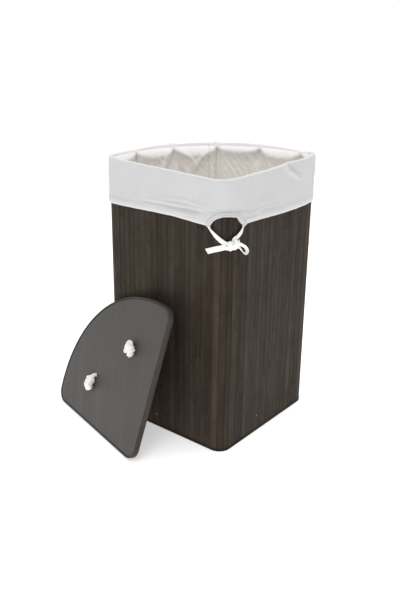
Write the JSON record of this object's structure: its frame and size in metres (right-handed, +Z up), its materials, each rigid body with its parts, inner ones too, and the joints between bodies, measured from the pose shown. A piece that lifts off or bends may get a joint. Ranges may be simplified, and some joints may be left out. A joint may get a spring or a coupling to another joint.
{
  "type": "laundry hamper",
  "caption": "Corner laundry hamper of dark bamboo slats on a quarter-round plan, with a cotton liner cuffed over the rim, a drawstring, and a loose lid with a rope handle leaning on its side.",
  "frame": {"origin": "on the floor under the middle of the hamper's plan, on the underside of the cross batten", "axes": "+Z up; -Y towards the square front corner; +Y towards the bowed back wall; +X to the right as seen from the front"},
  "size_m": [0.6236, 0.3919, 0.65],
  "materials": {
    "bamboo_dark": "dark brown stained bamboo slats, satin",
    "backing_cloth": "thin brown woven backing cloth, matt",
    "bamboo_pale": "unstained bamboo strip",
    "bamboo_trim": "dark smooth edge strip, satin",
    "base_wood": "plain softwood and board",
    "nail_steel": "bright wire nail",
    "liner_cotton": "white plain-weave cotton, matt",
    "drawstring_cotton": "white cotton tape",
    "lid_grey_board": "grey-brown stained board with fine grain, satin",
    "lid_band_bamboo": "dark brown bent bamboo strip, satin",
    "rope_cotton": "white twisted cotton rope, frayed at its ends"
  },
  "bodies": {
    "hamper": {"wall_front_corner": "bamboo_dark", "wall_right": "bamboo_dark", "wall_rear_corner_right": "bamboo_dark", "wall_rear_corner_left": "bamboo_dark", "wall_left": "bamboo_dark", "wall_back_1": "bamboo_dark", "wall_back_2": "bamboo_dark", "wall_back_3": "bamboo_dark", "wall_back_4": "bamboo_dark", "wall_back_5": "bamboo_dark", "wall_back_6": "bamboo_dark", "backing_cloth": "backing_cloth", "rim_hoop": "bamboo_pale", "seam_strip": "bamboo_pale", "bottom_trim": "bamboo_trim", "top_trim": "bamboo_trim", "base_batten_left": "base_wood", "base_batten_right": "base_wood", "base_batten_cross": "base_wood", "base_board": "base_wood", "nail_left": "nail_steel", "nail_right": "nail_steel", "nail_back_1": "nail_steel", "nail_back_2": "nail_steel", "nail_back_3": "nail_steel"},
    "liner": {"liner_front_corner": "liner_cotton", "liner_right": "liner_cotton", "liner_rear_corner_right": "liner_cotton", "liner_rear_corner_left": "liner_cotton", "liner_left": "liner_cotton", "liner_back_1": "liner_cotton", "liner_back_2": "liner_cotton", "liner_back_3": "liner_cotton", "liner_back_4": "liner_cotton", "liner_back_5": "liner_cotton", "liner_floor": "liner_cotton", "cuff_front": "liner_cotton", "cuff_right": "liner_cotton", "cuff_rear_corner_right": "liner_cotton", "cuff_rear_corner_left": "liner_cotton", "cuff_left": "liner_cotton", "cuff_back_1": "liner_cotton", "cuff_back_2": "liner_cotton", "cuff_back_3": "liner_cotton", "cuff_back_4": "liner_cotton", "drawstring_hem": "drawstring_cotton", "drawstring_left_run": "drawstring_cotton", "drawstring_right_run": "drawstring_cotton", "drawstring_knot": "drawstring_cotton", "drawstring_tail": "drawstring_cotton", "drawstring_loop": "drawstring_cotton"},
    "lid": {"lid_board": "lid_grey_board", "lid_slats": "bamboo_dark", "lid_band": "lid_band_bamboo", "handle_knot_upper": "rope_cotton", "handle_knot_lower": "rope_cotton"},
    "lid_handle": {"handle_rope": "rope_cotton"}
  },
  "joints": [
    {"name": "liner_lift_out", "type": "slide", "parent": "hamper", "child": "liner", "axis": [0, 0, 1], "range_m": [0, 0.6]},
    {"name": "lid_lift_away", "type": "slide", "parent": "hamper", "child": "lid", "axis": [-0.8316, -0.467, 0.3005], "range_m": [0, 0.3]},
    {"name": "lid_handle_swing", "type": "hinge", "parent": "lid", "child": "lid_handle", "pos_m": [-0.2314, -0.0278, 0.1714], "axis": [-0.5206, 0.4669, -0.7148], "range_deg": [-152, 23]}
  ]
}
